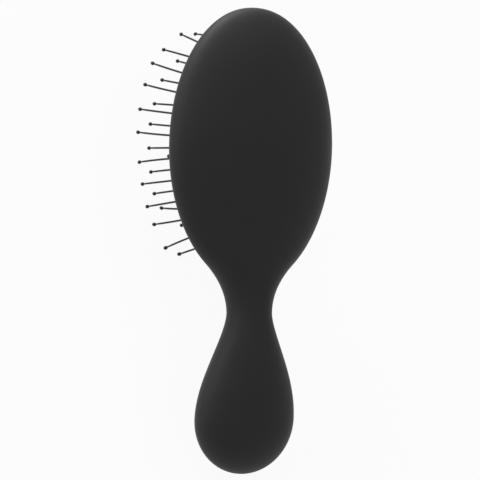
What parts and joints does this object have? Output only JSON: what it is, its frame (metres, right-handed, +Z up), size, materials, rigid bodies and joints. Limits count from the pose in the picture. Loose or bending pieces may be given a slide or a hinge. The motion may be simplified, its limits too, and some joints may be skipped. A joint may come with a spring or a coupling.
{
  "type": "paddle brush",
  "caption": "Small oval paddle hairbrush with a pear-shaped handle, a domed rubber cushion and thin ball-tipped pins, for detangling and smoothing hair.",
  "frame": {"origin": "on the table, under the middle of the brush's outline as it rests on its rear pins and the end of its handle", "axes": "+Z up, out of the brush's back; +Y along the brush towards the tip of its head; X across the brush"},
  "size_m": [0.0608, 0.1424, 0.0507],
  "materials": {
    "body_plastic": "soft-touch matte black moulding",
    "cushion_rubber": "smooth black rubber with a faint sheen",
    "pin_nylon": "smooth black nylon"
  },
  "bodies": {
    "root": {"cushion": "cushion_rubber", "middle_pins_01": "pin_nylon", "middle_pins_02": "pin_nylon", "paddle_body": "body_plastic", "ring1_pins_01": "pin_nylon", "ring1_pins_02": "pin_nylon", "ring1_pins_03": "pin_nylon", "ring1_pins_04": "pin_nylon", "ring1_pins_05": "pin_nylon", "ring1_pins_06": "pin_nylon", "ring1_pins_07": "pin_nylon", "ring1_pins_08": "pin_nylon", "ring1_pins_09": "pin_nylon", "ring1_pins_10": "pin_nylon", "ring1_pins_11": "pin_nylon", "ring1_pins_12": "pin_nylon", "ring1_pins_13": "pin_nylon", "ring1_pins_14": "pin_nylon", "ring2_pins_01": "pin_nylon", "ring2_pins_02": "pin_nylon", "ring2_pins_03": "pin_nylon", "ring2_pins_04": "pin_nylon", "ring2_pins_05": "pin_nylon", "ring2_pins_06": "pin_nylon", "ring2_pins_07": "pin_nylon", "ring2_pins_08": "pin_nylon", "ring2_pins_09": "pin_nylon", "ring2_pins_10": "pin_nylon", "ring2_pins_11": "pin_nylon", "ring3_pins_01": "pin_nylon", "ring3_pins_02": "pin_nylon", "ring3_pins_03": "pin_nylon", "ring3_pins_04": "pin_nylon", "ring3_pins_05": "pin_nylon", "ring3_pins_06": "pin_nylon", "ring3_pins_07": "pin_nylon", "ring3_pins_08": "pin_nylon", "ring3_pins_09": "pin_nylon", "ring4_pins_01": "pin_nylon", "ring4_pins_02": "pin_nylon", "ring4_pins_03": "pin_nylon", "ring4_pins_04": "pin_nylon", "ring4_pins_05": "pin_nylon", "ring4_pins_06": "pin_nylon"}
  },
  "joints": []
}
